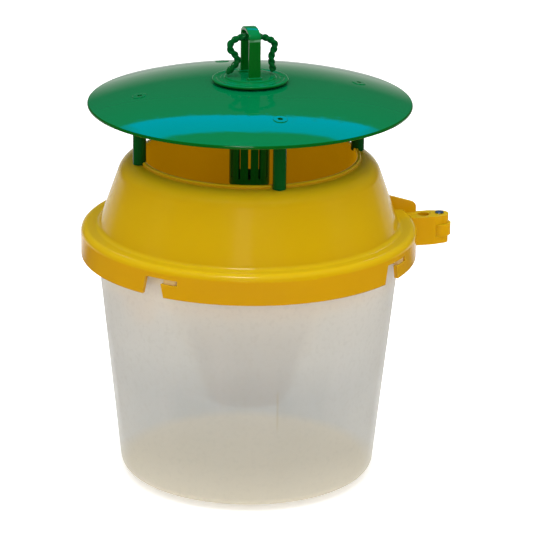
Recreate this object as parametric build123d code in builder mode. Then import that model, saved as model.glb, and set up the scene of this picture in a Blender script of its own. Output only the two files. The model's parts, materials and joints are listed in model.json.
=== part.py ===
from build123d import *
from math import cos, radians, sin
import os

# Hanging wasp trap. Units are millimetres. +Z is up, the origin is the centre of the bucket's
# underside, and -Y is the front. A bearing is measured anticlockwise (seen from above) from -Y.

# ---- driving dimensions ----------------------------------------------------------------------
corners = 4                 # bayonet lugs, collar notches and roof posts, one per quarter turn

bucket_base_r = 62.7
bucket_flare = 0.104        # radius gained per millimetre of height
bucket_height = 122.0
bucket_wall = 1.8
bucket_rim_r = 77.4
bucket_rim_depth = 2.2
bucket_rim_rounding = 0.8
bucket_base_rounding = 4.8

collar_r = 82.5
collar_wall = 2.3
collar_edge_rounding = 0.5
shoulder_rounding = 3.4
dome_foot_rounding = 2.6
collar_bottom = 110.2
shoulder_z = 125.0          # top of the ledge that joins the collar to the dome
ledge_thickness = 2.7

dome_lean = 19.45           # degrees that the dome wall leans in from the vertical
dome_wall = 1.9
dome_top_z = 158.8
dome_round_r = 9.7          # rounding between the dome wall and its flat top
dome_round_at = 55.0        # radius at which that rounding meets the flat top

throat_r = 52.3
lip_r = 54.4
lip_top = 160.5
lip_rounding = 0.8
cone_mouth_r = 50.3
cone_mouth_z = 110.0
cone_mouth_rounding = 12.0
cone_outlet_r = 18.0
cone_outlet_z = 35.0
funnel_wall = 1.6
skirt_bottom = 100.0        # lower edge of the skirt that centres the bucket's mouth
skirt_wall = 1.5
skirt_gap = 0.4
tongue_bearing = -47.0      # one rounded tongue hangs from the skirt
tongue_width = 21.0
tongue_bottom = 89.5
tongue_rounding = 8.0

notch_bearing = -33.25
notch_top = 119.6
notch_half_top = 3.95
notch_half_foot = 6.3
slot_bottom = 117.0
slot_reach = 13.4
lug_bearing = -26.9
lug_r = 82.3
lug_width = 7.0
lug_thickness = 2.3

post_bearing = 15.0
post_circle = 55.0
post_r = 3.25
post_foot = 158.85
post_top = 189.55
peg_r = 2.2
peg_length = 8.2
tip_r = 1.2
peg_gap = 0.05
peg_floor = 0.5             # play below the peg's end in its socket
peg_socket_wall = 2.0
lip_clearance = 0.4         # around each post where it interrupts the lip

roof_r = 79.0
roof_edge_z = 186.7
roof_rise = 9.9
roof_power = 2.6            # above 2 gives a flatter crown and a steeper margin than a sphere
roof_wall = 1.8
roof_lip_thickness = 1.5
pad_r = 3.4
pad_proud = 0.3             # how far the pad over each post stands above the roof's skin
socket_wall = 1.0           # wall of the socket under the roof that takes each post

cage_r = 9.9
cage_wall = 1.6
cage_bottom = 145.0
cage_floor = 2.0
cage_slot_width = 1.2
cage_slot_bottom = 149.6
cage_slot_top = 187.0
cage_flange_r = 13.5
cage_flange_thickness = 1.1
flange_gap = 0.4            # around the flange in its recess
cage_gap = 0.25             # around the cage in the roof's opening
seat_z = 196.25             # floor of the recess in the roof where the cage's flange sits

cap_r = 18.5
cap_bottom = 197.45
cap_thickness = 1.35
cap_crown_r = 12.5
cap_crown_rise = 1.0
plug_r = 8.2
plug_depth = 7.5
plug_wall = 1.5

strap_width = 5.8
strap_thickness = 1.8
strap_span = 17.3           # over the outside of both legs
strap_shoulder = 218.3
strap_top = 224.0

wire_r = 1.35
wire_axis_z = 218.9

bracket_bearing = 105.0
arm_bottom = 108.5
arm_top = 123.0
arm_half = 5.6
arm_taper_u = 94.4          # where the arm starts to narrow towards its end
split_half = 0.3            # half the slit between the fixed half and the jaw
jaw_rounding = 0.8
pin_u = 98.5                # distance of the hinge pin from the trap's axis
pin_r = 1.95
pin_gap = 0.05
pin_head_r = 2.25
pin_head_height = 0.7
stake_u = 90.0
stake_r = 3.0
knuckle_low = 112.4
knuckle_high = 118.3
body_knuckle_r = 5.8
jaw_knuckle_r = 4.6
knuckle_gap = 0.25
window_u = 95.0             # inner edge of the opening in the jaw that shows the middle knuckle
jaw_gap = 0.15              # between the jaw's root and the collar
gusset_top = 133.6
gusset_drop = 5.6           # how much lower the gusset's outer corner is
gusset_reach = 87.5
gusset_rounding = 3.0
gusset_thickness = 1.7

os.makedirs("parts", exist_ok=True)


def bucket_r(z):
    """Outer radius of the bucket's wall at height z."""
    return bucket_base_r + bucket_flare * z


def roof_z(r):
    """Height of the roof's upper surface at radius r."""
    return roof_edge_z + roof_rise * (1 - (r / roof_r) ** roof_power)


def roof_slope(r):
    """How steeply the roof rises towards its axis at radius r."""
    return roof_power * roof_rise * (r / roof_r) ** (roof_power - 1) / roof_r


def polar(bearing):
    """Angle from +X, in degrees, of a bearing."""
    return bearing - 90


def outward(bearing):
    """Unit vector along the bearing."""
    angle = radians(polar(bearing))
    return Vector(cos(angle), sin(angle), 0)


def upright_plane(bearing):
    """Plane through the trap's axis: x points out along the bearing and y points up."""
    return Plane(origin=(0, 0, 0), x_dir=outward(bearing), z_dir=outward(bearing - 90))


def tangent_plane(bearing, radius):
    """Plane facing out along the bearing at the given radius: x runs anticlockwise and y points up."""
    return Plane(origin=outward(bearing) * radius, x_dir=outward(bearing + 90), z_dir=outward(bearing))


def skin_plane(bearing):
    """Plane that touches the roof's upper surface above the post at this bearing."""
    spot = outward(bearing) * post_circle + Vector(0, 0, roof_z(post_circle))
    return Plane(origin=spot, z_dir=outward(bearing) * roof_slope(post_circle) + Vector(0, 0, 1))


def bracket_deck(z):
    """Horizontal plane at height z whose x points out along the clamp arm."""
    return Plane(origin=(0, 0, z), x_dir=upright_plane(bracket_bearing).x_dir, z_dir=(0, 0, 1))


def arm_outline(root_u, side):
    """Plan outline of one half of the clamp arm: side is 1 for the fixed half and -1 for the jaw."""
    return (
        (root_u, side * split_half),
        (pin_u, side * split_half),
        (pin_u, side * jaw_knuckle_r),
        (arm_taper_u, side * arm_half),
        (root_u, side * arm_half),
    )


# ---- bucket: one translucent moulding with a rolled rim and bayonet lugs ----------------------
mouth_r = bucket_r(bucket_height)
lug_bottom = (slot_bottom + notch_top - lug_thickness) / 2

with BuildPart() as bucket:
    with BuildSketch(Plane.XZ) as bucket_section:
        with BuildLine():
            Polyline(
                (0, 0),
                (bucket_r(0), 0),
                (bucket_r(bucket_height - bucket_rim_depth), bucket_height - bucket_rim_depth),
                (bucket_rim_r, bucket_height - bucket_rim_depth),
                (bucket_rim_r, bucket_height),
                (mouth_r - bucket_wall, bucket_height),
                (bucket_r(bucket_wall) - bucket_wall, bucket_wall),
                (0, bucket_wall),
                close=True,
            )
        make_face()
        base_corners = bucket_section.vertices().filter_by_position(Axis.X, bucket_base_r / 2, mouth_r)
        fillet(base_corners.group_by(Axis.Y)[0], bucket_base_rounding)
        fillet(base_corners.group_by(Axis.Y)[1], bucket_base_rounding - bucket_wall)
        fillet(bucket_section.vertices().group_by(Axis.X)[-1], bucket_rim_rounding)
    revolve(axis=Axis.Z)
    with BuildSketch(Plane.XY.offset(lug_bottom)):
        lug_root = mouth_r - bucket_wall / 2
        with PolarLocations((lug_root + lug_r) / 2, corners, start_angle=polar(lug_bearing)):
            Rectangle(lug_r - lug_root + 1, lug_width)
        Circle(lug_r, mode=Mode.INTERSECT)
    extrude(amount=lug_thickness)

bucket.part.label = "bucket"
export_step(bucket.part, "parts/bucket.step")

# ---- funnel body: collar, dome, throat, cone, skirt and the fixed half of the clamp ------------
lean = radians(dome_lean)
round_centre_z = dome_top_z - dome_round_r
inner_round_r = dome_round_r - dome_wall


def dome_tangent(radius):
    """Point where the rounding of this radius runs into the leaning wall."""
    return (dome_round_at + radius * cos(lean), round_centre_z + radius * sin(lean))


def dome_wall_r(radius, z):
    """Radius of the leaning wall, outer or inner, at height z."""
    start_r, start_z = dome_tangent(radius)
    return start_r + (start_z - z) * sin(lean) / cos(lean)


def dome_round_mid(radius):
    """Middle point of the rounding."""
    middle = radians((dome_lean + 90) / 2)
    return (dome_round_at + radius * cos(middle), round_centre_z + radius * sin(middle))


ledge_bottom = shoulder_z - ledge_thickness
foot_r = dome_wall_r(dome_round_r, shoulder_z)
skirt_foot_r = bucket_r(skirt_bottom) - bucket_wall - skirt_gap
skirt_head_r = bucket_r(ledge_bottom) - bucket_wall - skirt_gap
collar_inner_r = collar_r - collar_wall

# Rounded tongue below the skirt: a ring that carries the skirt's cone on, cut to the tongue's outline.
tongue_foot_r = bucket_r(tongue_bottom) - bucket_wall - skirt_gap
with BuildPart() as tongue:
    with BuildSketch(Plane.XZ):
        with BuildLine():
            Polyline(
                (tongue_foot_r - skirt_wall, tongue_bottom),
                (tongue_foot_r, tongue_bottom),
                (skirt_foot_r, skirt_bottom),
                (skirt_foot_r - skirt_wall, skirt_bottom),
                close=True,
            )
        make_face()
    revolve(axis=Axis.Z)
    with BuildSketch(tangent_plane(tongue_bearing, 0)):
        with Locations((0, tongue_bottom)):
            RectangleRounded(
                tongue_width,
                4 * tongue_rounding,
                tongue_rounding,
                align=(Align.CENTER, Align.MIN),
            )
    extrude(amount=collar_r, mode=Mode.INTERSECT)

with BuildPart() as funnel_body:
    with BuildSketch(Plane.XZ) as shell_section:
        with BuildLine():
            Polyline(
                (collar_r, collar_bottom),
                (collar_r, shoulder_z),
                (foot_r, shoulder_z),
                dome_tangent(dome_round_r),
            )
            ThreePointArc(
                dome_tangent(dome_round_r),
                dome_round_mid(dome_round_r),
                (dome_round_at, dome_top_z),
            )
            Polyline(
                (dome_round_at, dome_top_z),
                (lip_r, dome_top_z),
                (lip_r, lip_top),
                (throat_r, lip_top),
                (cone_mouth_r, cone_mouth_z),
                (cone_outlet_r, cone_outlet_z),
                (cone_outlet_r + funnel_wall, cone_outlet_z),
                (cone_mouth_r + funnel_wall, cone_mouth_z),
                (throat_r + funnel_wall - 0.3, dome_top_z - dome_wall),
                (dome_round_at, dome_top_z - dome_wall),
            )
            ThreePointArc(
                (dome_round_at, dome_top_z - dome_wall),
                dome_round_mid(inner_round_r),
                dome_tangent(inner_round_r),
            )
            Polyline(
                dome_tangent(inner_round_r),
                (dome_wall_r(inner_round_r, shoulder_z), shoulder_z),
                (skirt_foot_r - skirt_wall, skirt_bottom),
                (skirt_foot_r, skirt_bottom),
                (skirt_head_r, ledge_bottom),
                (collar_inner_r, ledge_bottom),
                (collar_inner_r, collar_bottom),
                (collar_r, collar_bottom),
            )
        make_face()
        fillet(shell_section.vertices().sort_by_distance((collar_r, shoulder_z))[0], shoulder_rounding)
        fillet(shell_section.vertices().sort_by_distance((foot_r, shoulder_z))[0], dome_foot_rounding)
        fillet(shell_section.vertices().sort_by_distance((lip_r, lip_top))[0], lip_rounding)
        fillet(shell_section.vertices().sort_by_distance((throat_r, lip_top))[0], lip_rounding)
        fillet(shell_section.vertices().sort_by_distance((collar_r, collar_bottom))[0], collar_edge_rounding)
        fillet(shell_section.vertices().sort_by_distance((cone_mouth_r, cone_mouth_z))[0], cone_mouth_rounding)
    revolve(axis=Axis.Z)

    add(tongue.part)

    # Sockets for the posts hang under the dome's top and stay out of the throat.
    socket_bottom = post_foot - peg_length - peg_socket_wall - peg_floor
    with BuildSketch(Plane.XY.offset(socket_bottom)):
        with PolarLocations(post_circle, corners, start_angle=polar(post_bearing)):
            Circle(peg_r + peg_socket_wall)
        Circle(throat_r - 0.1, mode=Mode.SUBTRACT)
    extrude(amount=dome_top_z - dome_wall - socket_bottom)
    with BuildSketch(Plane.XY.offset(post_foot - peg_length - peg_floor)):
        with PolarLocations(post_circle, corners, start_angle=polar(post_bearing)):
            Circle(peg_r + peg_gap)
    extrude(amount=lip_top, mode=Mode.SUBTRACT)

    # The lip is interrupted where each post stands.
    with BuildSketch(Plane.XY.offset(dome_top_z)):
        with PolarLocations(post_circle, corners, start_angle=polar(post_bearing)):
            Circle(post_r + lip_clearance)
    extrude(amount=lip_top, mode=Mode.SUBTRACT)

    # Bayonet entries: a notch open at the collar's lower edge and a slot that runs on from it.
    for quarter in range(corners):
        with BuildSketch(tangent_plane(notch_bearing + 90 * quarter, collar_r - 2 * collar_wall)):
            with BuildLine():
                Polyline(
                    (-notch_half_foot, collar_bottom - 1),
                    (notch_half_foot, collar_bottom - 1),
                    (notch_half_top, notch_top),
                    (-notch_half_top, notch_top),
                    close=True,
                )
            make_face()
            with Locations((slot_reach / 2, (slot_bottom + notch_top) / 2)):
                Rectangle(slot_reach, notch_top - slot_bottom)
        extrude(amount=3 * collar_wall, mode=Mode.SUBTRACT)

    # Fixed half of the stake clamp, cleared for the jaw's knuckles, with its own middle knuckle.
    with BuildSketch(bracket_deck(arm_bottom)):
        with BuildLine():
            Polyline(*arm_outline(collar_r - 1.2, 1), close=True)
        make_face()
    extrude(amount=arm_top - arm_bottom)
    for low, high in ((arm_bottom, knuckle_low), (knuckle_high, arm_top)):
        with BuildSketch(bracket_deck(low)):
            with Locations((pin_u, 0)):
                Circle(jaw_knuckle_r + knuckle_gap)
        extrude(amount=high - low, mode=Mode.SUBTRACT)
    with BuildSketch(bracket_deck(knuckle_low)):
        with Locations((pin_u, 0)):
            Circle(body_knuckle_r)
    extrude(amount=knuckle_high - knuckle_low)

    # Gusset that ties the back of the clamp arm to the dome wall.
    gusset_corner = (gusset_reach, gusset_top - gusset_drop)
    gusset_plane = Plane(
        origin=bracket_deck(0).from_local_coords((0, arm_half, 0)),
        x_dir=bracket_deck(0).x_dir,
        z_dir=-bracket_deck(0).y_dir,
    )
    with BuildSketch(gusset_plane) as gusset_section:
        with BuildLine():
            Polyline(
                (dome_wall_r(dome_round_r, gusset_top) - 0.6, gusset_top),
                gusset_corner,
                (gusset_reach, arm_top - 1),
                (collar_r - 2, arm_top - 1),
                (foot_r - 0.6, shoulder_z - 1),
                close=True,
            )
        make_face()
        fillet(gusset_section.vertices().sort_by_distance(gusset_corner)[0], gusset_rounding)
    extrude(amount=gusset_thickness)

    with Locations(bracket_deck(arm_top)):
        with Locations((stake_u, 0)):
            Hole(stake_r)
        with Locations((pin_u, 0)):
            Hole(pin_r + pin_gap)

funnel_body.part.label = "funnel_body"
export_step(funnel_body.part, "parts/funnel_body.step")

# ---- hinge pin of the stake clamp ------------------------------------------------------------
with BuildPart() as hinge_pin:
    with BuildSketch(bracket_deck(arm_bottom)):
        with Locations((pin_u, 0)):
            Circle(pin_r)
    extrude(amount=arm_top + pin_gap - arm_bottom)
    with BuildSketch(bracket_deck(arm_top + pin_gap)):
        with Locations((pin_u, 0)):
            Circle(pin_head_r)
    extrude(amount=pin_head_height)
    fillet(hinge_pin.edges().group_by(Axis.Z)[-1], 0.5)

hinge_pin.part.label = "hinge_pin"
export_step(hinge_pin.part, "parts/hinge_pin.step")

# ---- clamp jaw: the half that swings on the pin ----------------------------------------------
with BuildPart() as clamp_jaw:
    with BuildSketch(bracket_deck(arm_bottom)):
        with BuildLine():
            Polyline(*arm_outline(collar_r - jaw_gap, -1), close=True)
        make_face()
        with Locations((pin_u, 0)):
            Circle(jaw_knuckle_r)
        with Locations((0, 0)):
            Circle(collar_r + jaw_gap, mode=Mode.SUBTRACT)
    extrude(amount=arm_top - arm_bottom)
    with BuildSketch(bracket_deck(knuckle_low - 0.05)):
        with Locations((pin_u, 0)):
            Circle(body_knuckle_r + knuckle_gap)
        with Locations((window_u, -arm_half)):
            Rectangle(2 * body_knuckle_r, 2 * arm_half, align=(Align.MIN, Align.CENTER))
    extrude(amount=knuckle_high - knuckle_low + 0.1, mode=Mode.SUBTRACT)
    with Locations(bracket_deck(arm_top)):
        with Locations((stake_u, 0)):
            Hole(stake_r)
        with Locations((pin_u, 0)):
            Hole(pin_r + pin_gap)
    root_corner = bracket_deck(arm_top).from_local_coords((collar_r, -arm_half, 0))
    fillet(clamp_jaw.edges().filter_by(Axis.Z).sort_by_distance(root_corner)[0], jaw_rounding)

clamp_jaw.part.label = "clamp_jaw"
export_step(clamp_jaw.part, "parts/clamp_jaw.step")

# ---- roof: a shallow dome with a seat for the cage and a pad over each post --------------------
roof_points = [roof_r * share for share in (0.995, 0.9, 0.8, 0.65, 0.45, 0.25)]
boss_r = cage_flange_r + 3.5
boss_bottom = seat_z - 2.4
post_socket_top = roof_z(post_circle) - roof_wall / 2

with BuildPart() as lid:
    with BuildSketch(Plane.XZ):
        with BuildLine():
            top_curve = Spline(
                *[(r, roof_z(r)) for r in roof_points],
                (0, roof_z(0)),
                tangents=((-1, roof_slope(roof_points[0])), (-1, 0)),
            )
            under_curve = Spline(
                *[(r, roof_z(r) - roof_wall) for r in roof_points[1:]],
                (0, roof_z(0) - roof_wall),
                tangents=((-1, roof_slope(roof_points[1])), (-1, 0)),
            )
            Line(top_curve @ 1, under_curve @ 1)
            lip_foot = (roof_points[0], roof_z(roof_points[0]) - roof_lip_thickness)
            Line(under_curve @ 0, lip_foot)
            lip_nose = (roof_r, roof_z(roof_points[0]) - roof_lip_thickness / 2)
            ThreePointArc(top_curve @ 0, lip_nose, lip_foot)
        make_face()
    revolve(axis=Axis.Z)

    # Central boss, recess for the cage's flange, and the opening that the cage hangs through.
    with BuildSketch(Plane.XY.offset(boss_bottom)):
        Circle(boss_r)
    extrude(amount=seat_z - boss_bottom)
    with BuildSketch(Plane.XY.offset(seat_z)):
        Circle(cage_flange_r + flange_gap)
    extrude(amount=roof_rise, mode=Mode.SUBTRACT)
    Hole(cage_r + cage_gap, depth=2 * boss_bottom)

    # A socket below the skin and a low pad above it at each post, drilled for the post's tip.
    with BuildSketch(Plane.XY.offset(post_top)):
        with PolarLocations(post_circle, corners, start_angle=polar(post_bearing)):
            Circle(post_r + socket_wall)
    extrude(amount=post_socket_top - post_top)
    for quarter in range(corners):
        with BuildSketch(skin_plane(post_bearing + 90 * quarter).offset(-roof_wall / 2)):
            Circle(pad_r)
        extrude(amount=roof_wall / 2 + pad_proud)
    with BuildSketch(Plane.XY.offset(post_top)):
        with PolarLocations(post_circle, corners, start_angle=polar(post_bearing)):
            Circle(tip_r + peg_gap)
    extrude(amount=roof_rise, mode=Mode.SUBTRACT)

lid.part.label = "lid"
export_step(lid.part, "parts/lid.step")

# ---- posts: turned pegs that stand in the funnel body and carry the roof -----------------------
post_names = ("post_front", "post_right", "post_back", "post_left")
tip_top = roof_z(post_circle) - 0.1

for quarter, post_name in enumerate(post_names):
    post_spot = upright_plane(post_bearing + 90 * quarter).from_local_coords((post_circle, 0, 0))
    with BuildPart() as post:
        with Locations(Plane.XY.offset(post_foot - peg_length)):
            with Locations((post_spot.X, post_spot.Y)):
                Cylinder(peg_r, peg_length, align=(Align.CENTER, Align.CENTER, Align.MIN))
        with Locations(Plane.XY.offset(post_foot)):
            with Locations((post_spot.X, post_spot.Y)):
                Cylinder(post_r, post_top - post_foot, align=(Align.CENTER, Align.CENTER, Align.MIN))
        with Locations(Plane.XY.offset(post_top)):
            with Locations((post_spot.X, post_spot.Y)):
                Cylinder(tip_r, tip_top - post_top, align=(Align.CENTER, Align.CENTER, Align.MIN))
        chamfer(post.edges().group_by(Axis.Z)[0], 0.5)
        fillet(post.edges().group_by(Axis.Z)[-1], 0.3)
    post.part.label = post_name
    export_step(post.part, f"parts/{post_name}.step")

# ---- lure cage: a slotted cup that hangs through the roof --------------------------------------
with BuildPart() as lure_cage:
    with BuildSketch(Plane.XY.offset(cage_bottom)):
        Circle(cage_r)
    extrude(amount=seat_z - cage_bottom)
    with BuildSketch(Plane.XY.offset(seat_z)):
        Circle(cage_flange_r)
    extrude(amount=cage_flange_thickness)
    fillet(lure_cage.edges().group_by(Axis.Z)[0], 1.0)
    with BuildSketch(Plane.XY.offset(cage_bottom + cage_floor)):
        Circle(cage_r - cage_wall)
    extrude(amount=seat_z, mode=Mode.SUBTRACT)
    for turn in range(6):
        with BuildSketch(upright_plane(90 + 30 * turn)):
            with Locations((0, (cage_slot_bottom + cage_slot_top) / 2)):
                SlotOverall(cage_slot_top - cage_slot_bottom, cage_slot_width, rotation=90)
        extrude(amount=cage_r + 1, both=True, mode=Mode.SUBTRACT)

lure_cage.part.label = "lure_cage"
export_step(lure_cage.part, "parts/lure_cage.step")

# ---- cage cap: a disc that plugs the cage and carries the hanging strap ------------------------
crown_z = cap_bottom + cap_thickness + cap_crown_rise
strap_plane = upright_plane(post_bearing)
strap_half = strap_span / 2
strap_inner_half = strap_half - strap_thickness

with BuildPart() as cage_cap:
    with BuildSketch(Plane.XY.offset(cap_bottom)):
        Circle(cap_r)
    extrude(amount=cap_thickness)
    fillet(cage_cap.edges(), 0.5)
    with BuildSketch(Plane.XY.offset(cap_bottom + cap_thickness)):
        Circle(cap_crown_r)
    extrude(amount=cap_crown_rise)
    fillet(cage_cap.edges().group_by(Axis.Z)[-1], 0.3)
    with BuildSketch(Plane.XY.offset(cap_bottom - plug_depth)):
        Circle(plug_r)
        Circle(plug_r - plug_wall, mode=Mode.SUBTRACT)
    extrude(amount=plug_depth)
    with BuildSketch(strap_plane):
        with BuildLine():
            Line((-strap_half, crown_z - 1), (-strap_half, strap_shoulder))
            ThreePointArc((-strap_half, strap_shoulder), (0, strap_top), (strap_half, strap_shoulder))
            Line((strap_half, strap_shoulder), (strap_half, crown_z - 1))
            Line((strap_half, crown_z - 1), (-strap_half, crown_z - 1))
        make_face()
        with BuildLine():
            Line((-strap_inner_half, crown_z), (-strap_inner_half, strap_shoulder - 0.6))
            ThreePointArc(
                (-strap_inner_half, strap_shoulder - 0.6),
                (0, strap_top - strap_thickness),
                (strap_inner_half, strap_shoulder - 0.6),
            )
            Line((strap_inner_half, strap_shoulder - 0.6), (strap_inner_half, crown_z))
            Line((strap_inner_half, crown_z), (-strap_inner_half, crown_z))
        make_face(mode=Mode.SUBTRACT)
    extrude(amount=strap_width / 2, both=True)

cage_cap.part.label = "cage_cap"
export_step(cage_cap.part, "parts/cage_cap.step")

# ---- hanger wire: a twisted tie threaded through the strap, ends folded down -------------------
wire_plane = upright_plane(post_bearing + 90)
wire_points = (
    (-11.2, 201.6),
    (-8.6, 204.6),
    (-6.2, 207.4),
    (-7.6, 210.6),
    (-10.0, 213.4),
    (-9.4, 216.8),
    (-5.8, wire_axis_z - 0.1),
    (0, wire_axis_z),
    (5.6, wire_axis_z - 0.2),
    (9.0, 217.4),
    (11.5, 215.8),
    (12.2, 213.4),
    (11.0, 210.8),
    (10.3, 207.8),
    (10.7, 204.8),
    (11.4, 201.8),
)

with BuildPart() as hanger_wire:
    with BuildLine(wire_plane) as wire_route:
        Spline(*wire_points)
    with BuildSketch(Plane(origin=wire_route.line @ 0, z_dir=wire_route.line % 0)):
        Circle(wire_r)
    sweep()

hanger_wire.part.label = "hanger_wire"
export_step(hanger_wire.part, "parts/hanger_wire.step")
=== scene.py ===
"""Looks of the hanging wasp trap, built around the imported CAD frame.

Pieces are lathed, extruded and swept in mesh code in the frame's own place: +Z up, metres, the
origin at the centre of the bucket's underside. Profile sizes below are in millimetres.
"""

import json
import math

import bmesh
import bpy
from mathutils import Matrix, Vector


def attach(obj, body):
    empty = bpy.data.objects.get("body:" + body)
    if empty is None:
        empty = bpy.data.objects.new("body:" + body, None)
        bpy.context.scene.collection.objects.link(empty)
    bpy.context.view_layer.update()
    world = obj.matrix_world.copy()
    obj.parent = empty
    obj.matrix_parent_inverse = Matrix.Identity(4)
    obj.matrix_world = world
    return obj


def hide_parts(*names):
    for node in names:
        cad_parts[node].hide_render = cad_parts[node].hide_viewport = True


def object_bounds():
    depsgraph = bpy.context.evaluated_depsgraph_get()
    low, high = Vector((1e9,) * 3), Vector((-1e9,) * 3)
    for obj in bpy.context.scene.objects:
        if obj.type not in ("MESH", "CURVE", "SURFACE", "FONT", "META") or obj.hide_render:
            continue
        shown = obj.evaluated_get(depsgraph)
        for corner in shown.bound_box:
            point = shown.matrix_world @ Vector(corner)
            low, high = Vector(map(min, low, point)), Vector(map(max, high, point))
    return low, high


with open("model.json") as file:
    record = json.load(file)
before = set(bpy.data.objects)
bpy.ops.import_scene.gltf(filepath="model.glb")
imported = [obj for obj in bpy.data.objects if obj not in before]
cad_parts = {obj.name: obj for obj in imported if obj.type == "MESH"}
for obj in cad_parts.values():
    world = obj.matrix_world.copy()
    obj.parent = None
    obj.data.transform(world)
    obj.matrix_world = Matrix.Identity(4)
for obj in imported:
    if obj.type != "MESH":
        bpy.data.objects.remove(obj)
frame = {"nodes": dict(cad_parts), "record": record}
cad_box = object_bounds()

MM = 0.001
SEGMENTS = 256              # round every lathed piece
CREASE = 32                 # degrees; sharper edges are shaded as edges
QUARTERS = 4                # bayonet lugs, one per quarter turn
CLAMP_BEARING = 105         # direction of the stake clamp
TIE_BEARING = 105           # direction along which the wire tie runs through the strap
STRAP_FOLD_Z = 218.6        # height at which the strap's legs turn into its arch
THROAT_R = 53.4             # the throat's wall lies just inside this radius
PLASTIC_IOR = 1.49


# ---- small helpers: angles, colours and outlines ------------------------------------------------
def polar(bearing):
    """Angle from +X, in radians, of a bearing measured anticlockwise from the front (-Y)."""
    return math.radians(bearing - 90)


def on_circle(radius, bearing, z):
    """Point in the row frame, in millimetres."""
    angle = polar(bearing)
    return Vector((radius * math.cos(angle), radius * math.sin(angle), z))


def linear(red, green, blue):
    """Linear RGBA of a colour given as it looks on a screen, 0 to 255."""
    def channel(value):
        value /= 255
        return value / 12.92 if value <= 0.04045 else ((value + 0.055) / 1.055) ** 2.4
    return (channel(red), channel(green), channel(blue), 1.0)


def rounded(corners, steps=6):
    """Closed outline from (x, y, fillet) corners, each fillet drawn as an arc of short steps."""
    outline = []
    count = len(corners)
    for index, (x, y, fillet) in enumerate(corners):
        here = Vector((x, y))
        if fillet <= 0:
            outline.append((x, y))
            continue
        before = (Vector(corners[index - 1][:2]) - here).normalized()
        after = (Vector(corners[(index + 1) % count][:2]) - here).normalized()
        half = before.angle(after) / 2
        start = here + before * fillet / math.tan(half)
        end = here + after * fillet / math.tan(half)
        centre = here + (before + after).normalized() * fillet / math.sin(half)
        sweep = (start - centre).angle_signed(end - centre)
        for step in range(steps + 1):
            turn = Matrix.Rotation(-sweep * step / steps, 2)
            outline.append(tuple(centre + turn @ (start - centre)))
    return outline


# ---- small helpers: meshes ---------------------------------------------------------------------
def piece_from(name, points, faces, crease=CREASE):
    """Mesh object from points in millimetres, smooth except at edges sharper than crease degrees."""
    mesh = bpy.data.meshes.new(name)
    mesh.from_pydata([Vector(p) * MM for p in points], [], faces)
    mesh.validate()
    tidy(mesh, crease)
    piece = bpy.data.objects.new(name, mesh)
    bpy.context.scene.collection.objects.link(piece)
    return piece


def tidy(mesh, crease=CREASE):
    """Merges doubles, points the faces outwards and shades them smooth up to the crease angle."""
    work = bmesh.new()
    work.from_mesh(mesh)
    bmesh.ops.remove_doubles(work, verts=work.verts, dist=1e-6)
    bmesh.ops.dissolve_degenerate(work, edges=work.edges, dist=1e-7)
    bmesh.ops.recalc_face_normals(work, faces=work.faces)
    work.to_mesh(mesh)
    work.free()
    mesh.shade_smooth()
    mesh.set_sharp_from_angle(angle=math.radians(crease))


def lathe(name, outline, segments=SEGMENTS):
    """Closed (radius, height) outline turned about the trap's axis."""
    points = []
    rings = []
    for radius, height in outline:
        if radius < 1e-6:
            rings.append([len(points)] * segments)
            points.append((0, 0, height))
            continue
        rings.append([len(points) + k for k in range(segments)])
        for k in range(segments):
            angle = 2 * math.pi * k / segments
            points.append((radius * math.cos(angle), radius * math.sin(angle), height))
    faces = []
    for lower, upper in zip(rings, rings[1:] + rings[:1]):
        for k in range(segments):
            nxt = (k + 1) % segments
            corners = [lower[k], lower[nxt], upper[nxt], upper[k]]
            corners = list(dict.fromkeys(corners))
            if len(corners) > 2:
                faces.append(corners)
    return piece_from(name, points, faces)


def prism(name, outline, origin, across, up, depth):
    """Outline in the (across, up) plane at origin, pushed depth along across x up."""
    across, up = Vector(across), Vector(up)
    push = across.cross(up) * depth
    near = [Vector(origin) + across * x + up * y for x, y in outline]
    count = len(near)
    faces = [list(range(count))[::-1], list(range(count, 2 * count))]
    faces += [[k, (k + 1) % count, (k + 1) % count + count, k + count] for k in range(count)]
    return piece_from(name, near + [p + push for p in near], faces)


def tube(centres, radius, ring=14):
    """Points and faces of a round rod along the centres, with domed ends."""
    centres = [Vector(c) for c in centres]
    tangents = [(b - a).normalized() for a, b in zip(centres, centres[1:])]
    tangents.append(tangents[-1])

    def dome(end, outward, leans):
        tangent = tangents[end]
        for lean in map(math.radians, leans):
            push = tangent * outward * radius * math.sin(lean)
            yield centres[end] + push, tangent, radius * math.cos(lean)

    rings = list(dome(0, -1, (90, 60, 30)))
    rings += [(c, t, radius) for c, t in zip(centres, tangents)]
    rings += list(dome(-1, 1, (30, 60, 90)))
    points, faces = [], []
    side = tangents[0].orthogonal().normalized()
    for centre, tangent, size in rings:
        side = (side - tangent * side.dot(tangent)).normalized()
        other = tangent.cross(side)
        for k in range(ring):
            angle = 2 * math.pi * k / ring
            points.append(centre + (side * math.cos(angle) + other * math.sin(angle)) * size)
    for row in range(len(rings) - 1):
        for k in range(ring):
            here, nxt = row * ring + k, row * ring + (k + 1) % ring
            faces.append([here, nxt, nxt + ring, here + ring])
    return points, faces


def smooth_route(points, steps):
    """Catmull-Rom curve through 2-D points, each stretch drawn as short steps."""
    def blend(p, q, r, u, t):
        bend = (2 * p - 5 * q + 4 * r - u) * t ** 2
        return 0.5 * (2 * q + (r - p) * t + bend + (3 * q - p - 3 * r + u) * t ** 3)

    ends = [points[0]] + list(points) + [points[-1]]
    route = []
    for corners in zip(ends, ends[1:], ends[2:], ends[3:]):
        for step in range(steps):
            route.append(tuple(blend(*values, step / steps) for values in zip(*corners)))
    route.append(points[-1])
    return route


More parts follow.
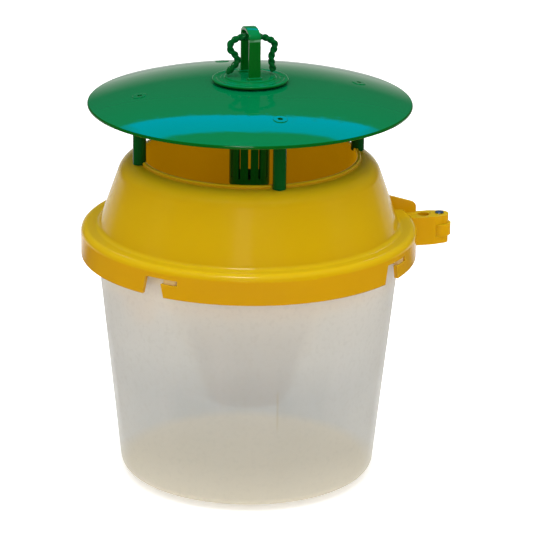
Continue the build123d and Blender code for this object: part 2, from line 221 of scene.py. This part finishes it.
def soften(piece, width, segments=2, limit=35):
    """Rounds every edge sharper than limit degrees."""
    bevel = piece.modifiers.new("bevel", "BEVEL")
    bevel.width = width * MM
    bevel.segments = segments
    bevel.limit_method = "ANGLE"
    bevel.angle_limit = math.radians(limit)
    bevel.use_clamp_overlap = True
    bake(piece)
    return piece


def bake(piece, crease=CREASE):
    """Applies the piece's modifiers."""
    graph = bpy.context.evaluated_depsgraph_get()
    graph.update()
    mesh = bpy.data.meshes.new_from_object(piece.evaluated_get(graph))
    piece.modifiers.clear()
    piece.data = mesh
    tidy(mesh, crease)
    return piece


def union(piece, others):
    """Joins each of the others to piece as one solid. The others are used up."""
    for other in others:
        step = piece.modifiers.new("boolean", "BOOLEAN")
        step.operation = "UNION"
        step.solver = "EXACT"
        step.object = other
    bake(piece)
    for other in others:
        bpy.data.objects.remove(other)
    return piece


# ---- small helpers: shader nodes ---------------------------------------------------------------
def node(tree, kind, links=None, **settings):
    """New shader node. links maps an input's name or number to a socket or a plain value."""
    made = tree.nodes.new(kind)
    for name, value in settings.items():
        setattr(made, name, value)
    for name, value in (links or {}).items():
        if isinstance(value, bpy.types.NodeSocket):
            tree.links.new(value, made.inputs[name])
        else:
            made.inputs[name].default_value = value
    return made


def blank_material(name):
    material = bpy.data.materials.new(name)
    material.use_nodes = True
    material.node_tree.nodes.clear()
    return material, material.node_tree


def noise(tree, where, scale, detail=3.0, stretch=(1, 1, 1)):
    """Noise value, 0 to 1, with scale in features per metre before stretching."""
    spread = node(tree, "ShaderNodeMapping", {"Vector": where, "Scale": stretch})
    made = node(tree, "ShaderNodeTexNoise", {"Vector": spread.outputs[0], "Scale": scale, "Detail": detail})
    return made.outputs[0]


def ramp(tree, value, low, high, to_low=0.0, to_high=1.0):
    """Value remapped from low..high to to_low..to_high, clamped."""
    made = node(tree, "ShaderNodeMapRange", {
        "Value": value, "From Min": low, "From Max": high, "To Min": to_low, "To Max": to_high,
    })
    return made.outputs[0]


def blend_colour(tree, share, first, second):
    """First colour where share is 0, second where it is 1."""
    made = node(tree, "ShaderNodeMix", {0: share}, data_type="RGBA")
    for number, value in ((6, first), (7, second)):
        if isinstance(value, bpy.types.NodeSocket):
            tree.links.new(value, made.inputs[number])
        else:
            made.inputs[number].default_value = value
    return made.outputs[2]


def arithmetic(tree, operation, first, second=0.0):
    return node(tree, "ShaderNodeMath", {0: first, 1: second}, operation=operation).outputs[0]


def product(tree, first, *others):
    """All the values multiplied together."""
    for other in others:
        first = arithmetic(tree, "MULTIPLY", first, other)
    return first


def size_of(tree, value):
    """Value without its sign."""
    return arithmetic(tree, "ABSOLUTE", value)


def vectors(tree, operation, first, second):
    """Vector result of an operation on two vectors."""
    return node(tree, "ShaderNodeVectorMath", {0: first, 1: second}, operation=operation).outputs["Vector"]


def dot(tree, first, second):
    made = node(tree, "ShaderNodeVectorMath", {0: first, 1: second}, operation="DOT_PRODUCT")
    return made.outputs["Value"]


def length(tree, vector):
    return node(tree, "ShaderNodeVectorMath", {0: vector}, operation="LENGTH").outputs["Value"]


def part_of(tree, vector, axis):
    """The vector's X, Y or Z."""
    return node(tree, "ShaderNodeSeparateXYZ", {0: vector}).outputs[axis]


def flattened(tree, vector):
    """The vector with its height taken out."""
    return vectors(tree, "MULTIPLY", vector, (1, 1, 0))


def between(tree, value, low, high, fade):
    """1 between low and high, fading to 0 over the stretch fade inside each of them."""
    return product(tree, ramp(tree, value, low, low + fade), ramp(tree, value, high, high - fade))


def object_place(tree):
    """Where the shaded point is on the object, in the row frame at rest."""
    return node(tree, "ShaderNodeTexCoord").outputs["Object"]


def grey(level):
    return (level, level, level, 1)


def edge_share(tree, radius):
    """0 on flat stretches, rising to 1 at convex and concave edges within radius metres."""
    bevel = node(tree, "ShaderNodeBevel", {"Radius": radius}, samples=4)
    plain = node(tree, "ShaderNodeNewGeometry")
    match = dot(tree, bevel.outputs[0], plain.outputs["Normal"])
    return ramp(tree, match, 0.995, 0.75)


# ---- materials ---------------------------------------------------------------------------------
def throat_painted_glow(tree, where, facing):
    """Share of a painted glow on the inside of the throat, standing in for light that soaks through its
    wall.
    """
    flat = flattened(tree, where)
    inside = ramp(tree, length(tree, flat), THROAT_R * MM, (THROAT_R - 0.5) * MM)
    inward = ramp(tree, dot(tree, flat, facing), 0.0, -0.01)
    return product(tree, inside, inward, ramp(tree, part_of(tree, where, "Z"), 70 * MM, 135 * MM))


def clamp_painted_glow(tree, where, facing):
    """The same painted glow for the thin upright walls of the clamp's arm and gusset."""
    flat = flattened(tree, where)
    out = dot(tree, flat, on_circle(1, CLAMP_BEARING, 0))
    side = size_of(tree, dot(tree, flat, on_circle(1, CLAMP_BEARING + 90, 0)))
    upright = ramp(tree, size_of(tree, part_of(tree, facing, "Z")), 0.5, 0.3, 0.0, 0.35)
    return product(tree, ramp(tree, out, 68 * MM, 70 * MM), ramp(tree, side, 9 * MM, 8 * MM), upright)


def moulded(name, colour, shade, wear_and_painted_highlight, gloss, haze, peel=0.02, glow=0.0, dust=0.0, shine=0.3,
            sloped_painted_light=None, upward_painted_light=None, soak_painted_glow=None, fold_z=None, rim_r=None):
    """Opaque moulded polypropylene: faint clouding and flow lines, an uneven gloss, orange peel
    and lighter edges, partly burnished wear and partly a painted highlight.

    colour, shade and worn are the main, the deeper and the edge colour, the edge colour standing for
    burnished wear and for a painted highlight; gloss and haze are the lowest and highest roughness;
    peel is the bump height in millimetres; glow is the share of light that travels under the surface;
    dust is the share of worn colour in scuffs; shine is the specular level; sloped and upward are
    lit copies of the colour, painted light on leaning walls and on surfaces that face up; soak is the
    colour of a painted glow that stands in for light coming through thin walls; fold_z is the height
    of a stress-whitened fold; rim_r is the radius from the trap's axis at which a rim painted in the
    deeper colour, as painted shade, begins.
    """
    material, tree = blank_material(name)
    where = object_place(tree)
    clouds = noise(tree, where, 14, 4)
    flow = noise(tree, where, 40, 3, stretch=(1, 1, 0.12))
    grain = noise(tree, where, 1400, 2)
    scuffs = noise(tree, where, 220, 5, stretch=(1, 1, 3))
    facing = node(tree, "ShaderNodeNewGeometry").outputs["Normal"]

    body = blend_colour(tree, ramp(tree, clouds, 0.35, 0.7), colour, shade)
    body = blend_colour(tree, ramp(tree, flow, 0.56, 0.75, 0, 0.35), body, shade)
    # Painted light: walls that lean and surfaces that face up get lighter copies of the colour, standing in
    # for the light that falls on them.
    if upward_painted_light:
        lift = part_of(tree, facing, "Z")
        body = blend_colour(tree, ramp(tree, lift, 0.05, 0.3, 0, 0.85), body, sloped_painted_light)
        body = blend_colour(tree, ramp(tree, lift, 0.4, 0.95, 0, 0.9), body, upward_painted_light)
    # Lighter edges: partly burnished wear, partly a painted highlight.
    body = blend_colour(tree, product(tree, edge_share(tree, 0.5 * MM), 0.55), body, wear_and_painted_highlight)
    if fold_z:
        off = size_of(tree, arithmetic(tree, "SUBTRACT", part_of(tree, where, "Z"), fold_z))
        patchy = ramp(tree, scuffs, 0.3, 0.6, 0.1, 0.45)
        whitened = product(tree, ramp(tree, off, 0.8 * MM, 0.1 * MM), patchy)
        body = blend_colour(tree, whitened, body, linear(150, 200, 168))
    # Painted shade: beyond the rim radius the outer rim is painted in the deeper colour.
    if rim_r:
        away = length(tree, flattened(tree, where))
        body = blend_colour(tree, ramp(tree, away, rim_r, rim_r + 0.2 * MM), body, shade)
    marks = ramp(tree, scuffs, 0.6, 0.75)
    body = blend_colour(tree, product(tree, marks, dust), body, wear_and_painted_highlight)

    rough = ramp(tree, clouds, 0.3, 0.75, gloss, haze)
    rough = arithmetic(tree, "ADD", rough, product(tree, marks, 0.1))
    soft_edges = node(tree, "ShaderNodeBevel", {"Radius": 0.35 * MM}, samples=4)
    peeled = node(tree, "ShaderNodeBump", {
        "Strength": 1.0, "Distance": peel * MM, "Height": grain, "Normal": soft_edges.outputs[0],
    })
    sagged = node(tree, "ShaderNodeBump", {
        "Strength": 1.0, "Distance": 0.05 * MM, "Height": noise(tree, where, 26, 1),
        "Normal": peeled.outputs[0],
    })
    surface = node(tree, "ShaderNodeBsdfPrincipled", {
        "Base Color": body, "Roughness": rough, "IOR": PLASTIC_IOR, "Specular IOR Level": shine,
        "Normal": sagged.outputs[0], "Subsurface Weight": glow,
        "Subsurface Radius": (1.0, 0.6, 0.05), "Subsurface Scale": 3.0 * MM,
    })
    # Painted light: a glow on the inside of the throat and on the clamp's thin walls stands in for light
    # coming through them.
    if soak_painted_glow:
        thin = clamp_painted_glow(tree, where, facing)
        share = arithmetic(tree, "MAXIMUM", throat_painted_glow(tree, where, facing), thin)
        share = product(tree, share, ramp(tree, clouds, 0.3, 0.7, 0.8, 1.1))
        surface.inputs["Emission Color"].default_value = soak_painted_glow
        tree.links.new(share, surface.inputs["Emission Strength"])
    node(tree, "ShaderNodeOutputMaterial", {"Surface": surface.outputs[0]})
    return material


def base_behind(tree):
    """1 where the line of sight through the bucket's wall goes on to its base, less when far; it places the
    painted light of the lit base.
    """
    spot = node(tree, "ShaderNodeNewGeometry")
    place, toward = spot.outputs["Position"], spot.outputs["Incoming"]
    climb = arithmetic(tree, "MAXIMUM", part_of(tree, toward, "Z"), 0.01)
    run = arithmetic(tree, "DIVIDE", part_of(tree, place, "Z"), climb)
    reach = node(tree, "ShaderNodeVectorMath", {0: toward, "Scale": run}, operation="SCALE")
    away = length(tree, vectors(tree, "SUBTRACT", place, reach.outputs[0]))
    near = ramp(tree, run, 150 * MM, 20 * MM, 0.6, 1.0)
    return product(tree, ramp(tree, away, 68 * MM, 58 * MM), ramp(tree, climb, 0.02, 0.1), near)


def cone_behind(tree):
    """1 where the line of sight through the bucket's wall goes on through the inner cone; it places the
    painted shade of the cone.
    """
    spot = node(tree, "ShaderNodeNewGeometry")
    place, toward = spot.outputs["Position"], spot.outputs["Incoming"]
    level = flattened(tree, toward)
    spread = length(tree, level)
    level = node(tree, "ShaderNodeVectorMath", {0: level}, operation="NORMALIZE").outputs[0]
    ahead = dot(tree, place, level)
    aside = size_of(tree, part_of(tree, vectors(tree, "CROSS_PRODUCT", place, level), "Z"))
    slope = arithmetic(tree, "DIVIDE", part_of(tree, toward, "Z"), spread)
    height = arithmetic(tree, "SUBTRACT", part_of(tree, place, "Z"), product(tree, ahead, slope))
    cone_r = ramp(tree, height, 30 * MM, 80 * MM, 19 * MM, 34 * MM)
    within = ramp(tree, arithmetic(tree, "SUBTRACT", cone_r, aside), -1 * MM, 3 * MM)
    above_mouth = ramp(tree, height, 28 * MM, 33 * MM)
    below_skirt = ramp(tree, height, 92 * MM, 60 * MM)
    return product(tree, within, above_mouth, below_skirt, ramp(tree, ahead, 0.0, 10 * MM))


def drip_line(tree, where):
    """Faint upright line left by a drip on the front of the bucket's wall."""
    off = size_of(tree, arithmetic(tree, "SUBTRACT", part_of(tree, where, "X"), 14.6 * MM))
    front = ramp(tree, part_of(tree, where, "Y"), -50 * MM, -60 * MM)
    stretch = between(tree, part_of(tree, where, "Z"), 39 * MM, 63 * MM, 5 * MM)
    return product(tree, ramp(tree, off, 0.7 * MM, 0.2 * MM), front, stretch, 0.28)


def milky(name):
    """Translucent polypropylene: it scatters most light and lets a little through. The lit base and the
    shaded cone behind the wall are painted on from the line of sight, the top, the bottom and the grazing
    edges are painted lighter, and a faint glow is painted at the base and the rim.
    """
    material, tree = blank_material(name)
    where = object_place(tree)
    height = part_of(tree, where, "Z")
    radius = length(tree, flattened(tree, where))
    clouds = noise(tree, where, 22, 4)
    flow = noise(tree, where, 60, 4, stretch=(1, 1, 0.15))
    speckle = noise(tree, where, 420, 4)
    grazing = node(tree, "ShaderNodeLayerWeight", {"Blend": 0.3}).outputs["Facing"]

    body = blend_colour(tree, ramp(tree, clouds, 0.3, 0.7), linear(216, 218, 217), linear(208, 211, 211))
    tints = [
        (ramp(tree, flow, 0.5, 0.75, 0, 0.5), linear(224, 224, 224)),
        # Painted light: the upper wall is painted lighter and warmer.
        (ramp(tree, height, 55 * MM, 105 * MM, 0, 0.9), linear(252, 249, 240)),
        # Painted highlight: the wall is painted lighter where it is seen at a grazing angle.
        (ramp(tree, grazing, 0.1, 0.7, 0, 0.95), linear(252, 252, 249)),
        # Painted light: the lit base behind the wall is painted on from the line of sight.
        (product(tree, base_behind(tree), 0.8), linear(236, 229, 211)),
        # Painted shade: the shaded inner cone behind the wall is painted on as a faint darker V.
        (product(tree, cone_behind(tree), 0.13), linear(186, 184, 188)),
        # Painted light: the bottom few millimetres are painted lighter and warmer.
        (ramp(tree, height, 4 * MM, 2 * MM, 0, 0.9), linear(246, 238, 218)),
        (ramp(tree, speckle, 0.5, 0.75, 0, 0.2), linear(206, 203, 196)),
        (drip_line(tree, where), linear(205, 186, 140)),
        # Painted light: the rim and the lugs sit inside the yellow collar, and the yellow light they get
        # there is painted on as a yellow tint.
        (ramp(tree, height, 112 * MM, 118 * MM, 0, 0.6), linear(250, 230, 170)),
        (ramp(tree, radius, 77.6 * MM, 79 * MM, 0, 0.85), linear(230, 188, 84)),
    ]
    for share, tint in tints:
        body = blend_colour(tree, share, body, tint)

    grain = node(tree, "ShaderNodeBump", {"Strength": 1.0, "Distance": 0.012 * MM, "Height": speckle})
    skin = node(tree, "ShaderNodeBsdfPrincipled", {
        "Base Color": body, "Roughness": ramp(tree, clouds, 0.3, 0.7, 0.3, 0.42),
        "IOR": PLASTIC_IOR, "Specular IOR Level": 0.3, "Normal": grain.outputs[0],
    })
    through = node(tree, "ShaderNodeBsdfTranslucent", {"Color": body})
    solid = node(tree, "ShaderNodeMixShader", {0: 0.5, 1: skin.outputs[0], 2: through.outputs[0]})
    # Painted light: a faint glow on the base and the rim stands in for the light around the trap that comes
    # through them.
    base_painted_glow = ramp(tree, height, 22 * MM, 2 * MM, 0, 0.09)
    rim_painted_glow = ramp(tree, height, 90 * MM, 115 * MM, 0, 0.045)
    lit = node(tree, "ShaderNodeEmission", {
        "Color": linear(255, 249, 234), "Strength": arithmetic(tree, "ADD", base_painted_glow, rim_painted_glow),
    })
    solid = node(tree, "ShaderNodeAddShader", {0: solid.outputs[0], 1: lit.outputs[0]})
    clear = node(tree, "ShaderNodeBsdfTransparent", {"Color": (0.99, 0.99, 0.98, 1)})
    density = ramp(tree, height, 35 * MM, 75 * MM, 0.58, 0.74)
    density = arithmetic(tree, "ADD", density, product(tree, grazing, 0.1))
    surface = node(tree, "ShaderNodeMixShader", {0: density, 1: clear.outputs[0], 2: solid.outputs[0]})
    node(tree, "ShaderNodeOutputMaterial", {"Surface": surface.outputs[0]})
    return material


def steel(name):
    """Drawn steel pin with fine turning marks on its head."""
    material, tree = blank_material(name)
    where = object_place(tree)
    marks = noise(tree, where, 2200, 3, stretch=(1, 1, 0.1))
    clouds = noise(tree, where, 300, 3)
    body = blend_colour(tree, clouds, linear(176, 184, 206), linear(140, 150, 178))
    bump = node(tree, "ShaderNodeBump", {"Strength": 0.6, "Distance": 0.02 * MM, "Height": marks})
    surface = node(tree, "ShaderNodeBsdfPrincipled", {
        "Base Color": body, "Metallic": 1.0, "Roughness": ramp(tree, marks, 0.3, 0.7, 0.2, 0.4),
        "Normal": bump.outputs[0],
    })
    node(tree, "ShaderNodeOutputMaterial", {"Surface": surface.outputs[0]})
    return material


# Painted light: in the yellow, the roof green and the cap green, the leaning and upward-facing colours are
# lit copies of the main colour; the yellow's last colour is a painted glow.
yellow = moulded("yellow_plastic", (0.55, 0.285, 0.001, 1), (0.53, 0.268, 0.001, 1), (0.80, 0.56, 0.04, 1),
                 gloss=0.12, haze=0.18, peel=0.006, glow=0.2, dust=0.03, shine=0.25,
                 sloped_painted_light=(0.54, 0.34, 0.001, 1), upward_painted_light=(0.67, 0.455, 0.008, 1), soak_painted_glow=(0.17, 0.08, 0.0, 1))
# Painted shade: the roof green's outer rim is painted in its deeper colour beyond the rim radius.
roof_green = moulded("roof_green_plastic", linear(1, 84, 36), linear(1, 80, 14), linear(20, 150, 90),
                     gloss=0.04, haze=0.07, peel=0.002, dust=0.02, shine=0.42, rim_r=78.3 * MM,
                     sloped_painted_light=linear(1, 104, 56), upward_painted_light=linear(1, 112, 65))
cap_green = moulded("cap_green_plastic", linear(1, 95, 22), linear(1, 86, 18), linear(8, 128, 66),
                    gloss=0.05, haze=0.09, peel=0.003, dust=0.02, shine=0.4,
                    sloped_painted_light=linear(1, 106, 48), upward_painted_light=linear(1, 117, 66),
                    fold_z=(STRAP_FOLD_Z + 0.3) * MM)
# Painted shade: the posts are of the roof's green plastic, painted a darker green for the shade under the
# roof.
post_green_painted_shade = moulded("post_green_plastic", linear(0, 74, 18), linear(0, 66, 14), linear(8, 110, 56),
                     gloss=0.15, haze=0.25, peel=0.006, dust=0.04, shine=0.2)
cage_green = moulded("cage_green_plastic", linear(0, 100, 26), linear(0, 90, 20), linear(8, 132, 64),
                     gloss=0.09, haze=0.15, peel=0.006, dust=0.04, shine=0.1)
wire_green = moulded("wire_green_coating", linear(1, 84, 32), linear(1, 72, 26), linear(12, 124, 70),
                     gloss=0.1, haze=0.18, peel=0.01, dust=0.05, shine=0.22)
bucket_milky = milky("bucket_milky_plastic")
pin_steel = steel("pin_steel")

SLOT_MATERIALS = {
    "funnel_yellow": yellow,
    "roof_green": roof_green,
    "cage_green": cage_green,
    "wire_green": wire_green,
    "bucket_translucent": bucket_milky,
    "pin_steel": pin_steel,
}


def dress(piece, slot_name):
    """Gives the piece the material of the record's slot slot_name."""
    piece.data.materials.clear()
    piece.data.materials.append(SLOT_MATERIALS[slot_name])


for entry in frame["record"]["subparts"]:
    dress(frame["nodes"][entry["node"]], entry["material_slot"])
    # The posts get the darker green, painted shade for the shade under the roof.
    if entry["node"].startswith("post"):
        frame["nodes"][entry["node"]].data.materials[0] = post_green_painted_shade


# ---- pieces built over the CAD -----------------------------------------------------------------
def stand_in(piece, node_name, body, slot_name):
    """The piece is shown instead of the CAD node and moves with the node's body."""
    dress(piece, slot_name)
    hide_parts(node_name)
    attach(piece, body)
    return piece


def build_bucket():
    """Bucket with a foot ring, a recessed underside, a rolled rim and four bayonet lugs."""
    base_r, flare, wall = 62.7, 0.104, 1.8
    floor_z = 1.9
    rim_r, rim_z, rim_foot = 77.4, 122.0, 119.8
    recess, groove = 0.9, 0.5            # heights of the underside's panels and of its ring marks
    underside = [
        (0, groove, 0), (2.0, groove, 0.2), (2.4, recess, 0.2), (28.0, recess, 0),
        (28.4, groove, 0.15), (29.6, groove, 0.15), (30.0, recess, 0), (55.0, recess, 0.5),
        (56.2, 0, 0.5),
    ]
    outside = [
        (base_r, 0, 4.8), (base_r + flare * rim_foot, rim_foot, 0.3), (rim_r, rim_foot, 0.8),
        (rim_r, rim_z, 0.8),
    ]
    inside = [
        (base_r + flare * rim_z - wall, rim_z, 0.5), (base_r - wall + 0.2, floor_z, 3.0),
        (0, floor_z, 0),
    ]
    piece = lathe("bucket_shell", rounded(underside + outside + inside))

    lug_foot, lug_thickness = 117.15, 2.3
    lug_root, lug_tip, lug_half = 74.2, 82.2, 3.5
    first_bearing = -26.9
    plan = rounded([
        (lug_root, -lug_half, 0), (lug_tip, -lug_half, 1.2), (lug_tip, lug_half, 1.2),
        (lug_root, lug_half, 0),
    ])
    lugs = []
    for quarter in range(QUARTERS):
        bearing = first_bearing + 360 / QUARTERS * quarter
        out = on_circle(1, bearing, 0)
        across = on_circle(1, bearing + 90, 0)
        lugs.append(soften(prism("lug", plan, (0, 0, lug_foot), out, across, lug_thickness), 0.4))
    return union(piece, lugs)


def build_cap():
    """Cage cap: a grooved disc with a raised crown, the plug below it, and the folded strap."""
    disc_foot, disc_top, crown_top, groove = 197.45, 198.8, 199.8, 198.5
    disc_r = 18.5
    disc = [
        (0, disc_foot, 0), (disc_r, disc_foot, 0.5), (disc_r, disc_top, 0.6), (16.6, disc_top, 0.3),
        (16.2, groove, 0.3), (14.6, groove, 0.3), (14.2, disc_top, 0.3), (12.7, disc_top, 0.5),
        (12.2, crown_top, 0.45), (0, crown_top, 0),
    ]
    piece = lathe("cap_disc", rounded(disc, steps=4), segments=160)
    plug_foot, plug_top = 189.95, 197.9
    plug = [(6.7, plug_foot, 0.3), (8.2, plug_foot, 0.6), (8.2, plug_top, 0), (6.7, plug_top, 0)]
    plug = lathe("cap_plug", rounded(plug, steps=4), segments=96)

    half, thickness, width = 8.65, 1.8, 5.8
    root_z, top_z = 199.3, 223.95
    reach = half - thickness
    rise = top_z - STRAP_FOLD_Z
    steps = 24
    outer, inner = [], []
    for step in range(steps + 1):
        turn = math.pi * step / steps
        arch = math.sin(turn) ** 0.8
        outer.append((-half * math.cos(turn), STRAP_FOLD_Z + rise * arch))
        inner.append((-reach * math.cos(turn), STRAP_FOLD_Z - 0.5 + (rise - 1.3) * arch))
    side = [(-half, root_z)] + outer + [(half, root_z), (reach, root_z)] + inner[::-1] + [(-reach, root_z)]
    spacing = on_circle(1, TIE_BEARING - 90, 0)
    along = on_circle(1, TIE_BEARING, 0)
    strap = prism("cap_strap", side, along * width / 2, spacing, (0, 0, 1), width)
    soften(strap, 0.45, segments=3, limit=50)
    foot_half_x, foot_half_y, foot_height, fillet = 1.9, 3.7, 1.3, 0.8
    foot = rounded([
        (-foot_half_x, -foot_half_y, fillet), (foot_half_x, -foot_half_y, fillet),
        (foot_half_x, foot_half_y, fillet), (-foot_half_x, foot_half_y, fillet),
    ], steps=4)
    feet = []
    for end in (-1, 1):
        place = spacing * end * (half - thickness / 2) + Vector((0, 0, root_z + 0.1))
        feet.append(soften(prism("cap_foot", foot, place, spacing, along, foot_height), 0.35))
    return union(piece, [plug, strap] + feet)


def build_tie():
    """Wire tie: two strands twisted together along a route through the strap, ends folded down."""
    strand_r, twist_r, pitch = 1.05, 0.7, 6.2
    crease = 60
    route = smooth_route([
        (-11.2, 202.0), (-8.6, 204.6), (-6.4, 207.4), (-7.8, 210.6), (-10.2, 213.4), (-9.6, 216.6),
        (-5.8, 218.8), (0, 218.9), (5.6, 218.7), (9.0, 217.4), (11.5, 215.8), (12.2, 213.4),
        (11.0, 210.8), (10.4, 207.8), (10.8, 204.8), (11.4, 202.0),
    ], steps=12)
    along = on_circle(1, TIE_BEARING, 0)
    facing = on_circle(1, TIE_BEARING - 90, 0)
    strands = []
    for start in (0, math.pi):
        travelled, centres = 0.0, []
        for index, (t, z) in enumerate(route):
            before, after = route[max(index - 1, 0)], route[min(index + 1, len(route) - 1)]
            step = Vector((after[0] - before[0], after[1] - before[1]))
            travelled += step.length / 2
            turn = start + 2 * math.pi * travelled / pitch
            step.normalize()
            sideways = along * -step.y + Vector((0, 0, step.x))
            twist = facing * math.cos(turn) + sideways * math.sin(turn)
            centres.append(along * t + Vector((0, 0, z)) + twist * twist_r)
        strands.append(piece_from("wire_tie", *tube(centres, strand_r), crease))
    tie = union(strands[0], strands[1:])
    skin = tie.modifiers.new("skin", "REMESH")
    skin.mode = "VOXEL"
    skin.voxel_size = 0.27 * MM
    return bake(tie, crease)


stand_in(build_bucket(), "bucket", "bucket", "bucket_translucent")
cap = stand_in(build_cap(), "cage_cap", "cap", "cage_green")
cap.data.materials[0] = cap_green
stand_in(build_tie(), "hanger_wire", "hanger", "wire_green")


# ---- studio: pale floor, soft lights, camera ---------------------------------------------------
def soft_light(name, place, target, size, power, glossy=True, diffuse=True):
    """White rectangular area light aimed at target, hidden from the camera."""
    lamp = bpy.data.lights.new(name, "AREA")
    lamp.shape = "RECTANGLE"
    lamp.size, lamp.size_y = size
    lamp.energy = power
    holder = bpy.data.objects.new(name, lamp)
    holder.location = place
    holder.rotation_euler = (Vector(target) - Vector(place)).to_track_quat("-Z", "Y").to_euler()
    holder.visible_glossy = glossy
    holder.visible_diffuse = diffuse
    holder.visible_camera = False
    bpy.context.scene.collection.objects.link(holder)


def floor_paint():
    """Plain pale paint, lifted to white away from the trap."""
    material, tree = blank_material("studio_floor_paint")
    where = object_place(tree)
    ray = node(tree, "ShaderNodeLightPath")
    tone = blend_colour(tree, noise(tree, where, 1.5, 2), grey(0.93), grey(0.95))
    # Mirrored in the trap, the floor is pale only behind it.
    behind = ramp(tree, part_of(tree, where, "Y"), 0.27, 0.34)
    mirrored = blend_colour(tree, behind, grey(0.06), (0.9, 0.9, 0.88, 1))
    tone = blend_colour(tree, ray.outputs["Is Glossy Ray"], tone, mirrored)
    lift = ramp(tree, length(tree, where), 0.0625, 0.11, 0.3, 0.6)
    paint = node(tree, "ShaderNodeBsdfPrincipled", {
        "Base Color": tone, "Roughness": 0.9, "Specular IOR Level": 0.0,
        "Emission Color": grey(1.0),
        "Emission Strength": product(tree, lift, ray.outputs["Is Camera Ray"]),
    })
    # Seen from below, the floor is left out, so the underside shows.
    toward = node(tree, "ShaderNodeNewGeometry").outputs["Incoming"]
    below = ramp(tree, part_of(tree, toward, "Z"), 0.0, -0.001)
    clear = node(tree, "ShaderNodeBsdfTransparent")
    surface = node(tree, "ShaderNodeMixShader", {0: below, 1: paint.outputs[0], 2: clear.outputs[0]})
    node(tree, "ShaderNodeOutputMaterial", {"Surface": surface.outputs[0]})
    return material


def build_floor():
    half, top, thickness = 4.0, -0.001, 0.002
    corners = [(-half, -half), (half, -half), (half, half), (-half, half)]
    floor = prism("studio_floor", corners, (0, 0, (top - thickness) / MM), (1, 0, 0), (0, 1, 0), thickness)
    floor.data.transform(Matrix.Diagonal((1 / MM, 1 / MM, 1, 1)))
    floor.data.materials.append(floor_paint())


def build_lights():
    """Broad lights that mirrors don't show, and two narrow ones that only mirrors show."""
    low, high = cad_box
    middle = (low + high) / 2
    soft_light("overhead", (0.0, -0.25, 1.3), middle, (1.5, 1.5), 17, glossy=False)
    soft_light("front_fill", (0.1, -1.6, 0.7), middle, (1.4, 0.8), 4.5, glossy=False)
    soft_light("left_fill", (-1.3, -0.3, 0.5), middle, (0.5, 1.0), 2.5, glossy=False)
    soft_light("right_fill", (1.3, -0.3, 0.5), middle, (0.5, 1.0), 2.5, glossy=False)
    soft_light("lamp", (-0.12, -0.47, 1.6), middle, (0.34, 0.05), 6, diffuse=False)
    soft_light("strip", (-0.12, -1.5, 0.6), middle, (0.35, 0.7), 0.5, diffuse=False)


def build_surroundings():
    """White behind the trap, even light around it, and something for its gloss to mirror."""
    world = bpy.data.worlds.new("studio")
    bpy.context.scene.world = world
    world.use_nodes = True
    world.cycles.sampling_method = "NONE"
    tree = world.node_tree
    tree.nodes.clear()
    ray = node(tree, "ShaderNodeLightPath")
    look = node(tree, "ShaderNodeTexCoord").outputs["Generated"]
    aside = size_of(tree, part_of(tree, look, "X"))
    depth = part_of(tree, look, "Y")
    rise = part_of(tree, look, "Z")
    # Mirrored surroundings: dim walls, a pale backdrop low down behind the trap, and a blue
    # window band high up behind it.
    backdrop = product(tree, ramp(tree, rise, 0.22, -0.14), ramp(tree, depth, 0.88, 0.98))
    walls = blend_colour(tree, backdrop, grey(0.06), (0.85, 0.85, 0.8, 1))
    window = product(
        tree, ramp(tree, rise, 0.545, 0.555), ramp(tree, rise, 0.695, 0.68),
        ramp(tree, aside, 0.26, 0.22), ramp(tree, depth, 0.1, 0.2),
    )
    mirrored = blend_colour(tree, window, walls, (0.0, 1.25, 3.1, 1))
    ambient = blend_colour(tree, ramp(tree, rise, 0.0, 0.9), grey(0.56), grey(0.46))
    ambient = blend_colour(tree, ray.outputs["Is Glossy Ray"], ambient, mirrored)
    shown = blend_colour(tree, ray.outputs["Is Camera Ray"], ambient, grey(1.0))
    sky = node(tree, "ShaderNodeBackground", {"Color": shown, "Strength": 1.0})
    node(tree, "ShaderNodeOutputWorld", {"Surface": sky.outputs[0]})


def build_camera():
    """Camera 1.5 m away and 18.6 degrees above the horizon, leaning by half a degree."""
    elevation = math.radians(18.62)
    roll = math.radians(0.57)
    distance = 1.5
    aim = Vector((0, 0, 0.1))
    back = Vector((0, -math.cos(elevation), math.sin(elevation)))
    data = bpy.data.cameras.new("camera")
    data.sensor_width = 36
    data.lens = 205
    data.shift_x = 0.034
    data.shift_y = 0.008
    camera = bpy.data.objects.new("camera", data)
    camera.location = aim + back * distance
    upright = (-back).to_track_quat("-Z", "Y")
    camera.rotation_mode = "QUATERNION"
    camera.rotation_quaternion = upright @ Matrix.Rotation(roll, 3, "Z").to_quaternion()
    bpy.context.scene.collection.objects.link(camera)
    bpy.context.scene.camera = camera


build_floor()
build_lights()
build_surroundings()
build_camera()
bpy.context.scene.view_settings.view_transform = "Standard"
bpy.context.scene.view_settings.look = "None"
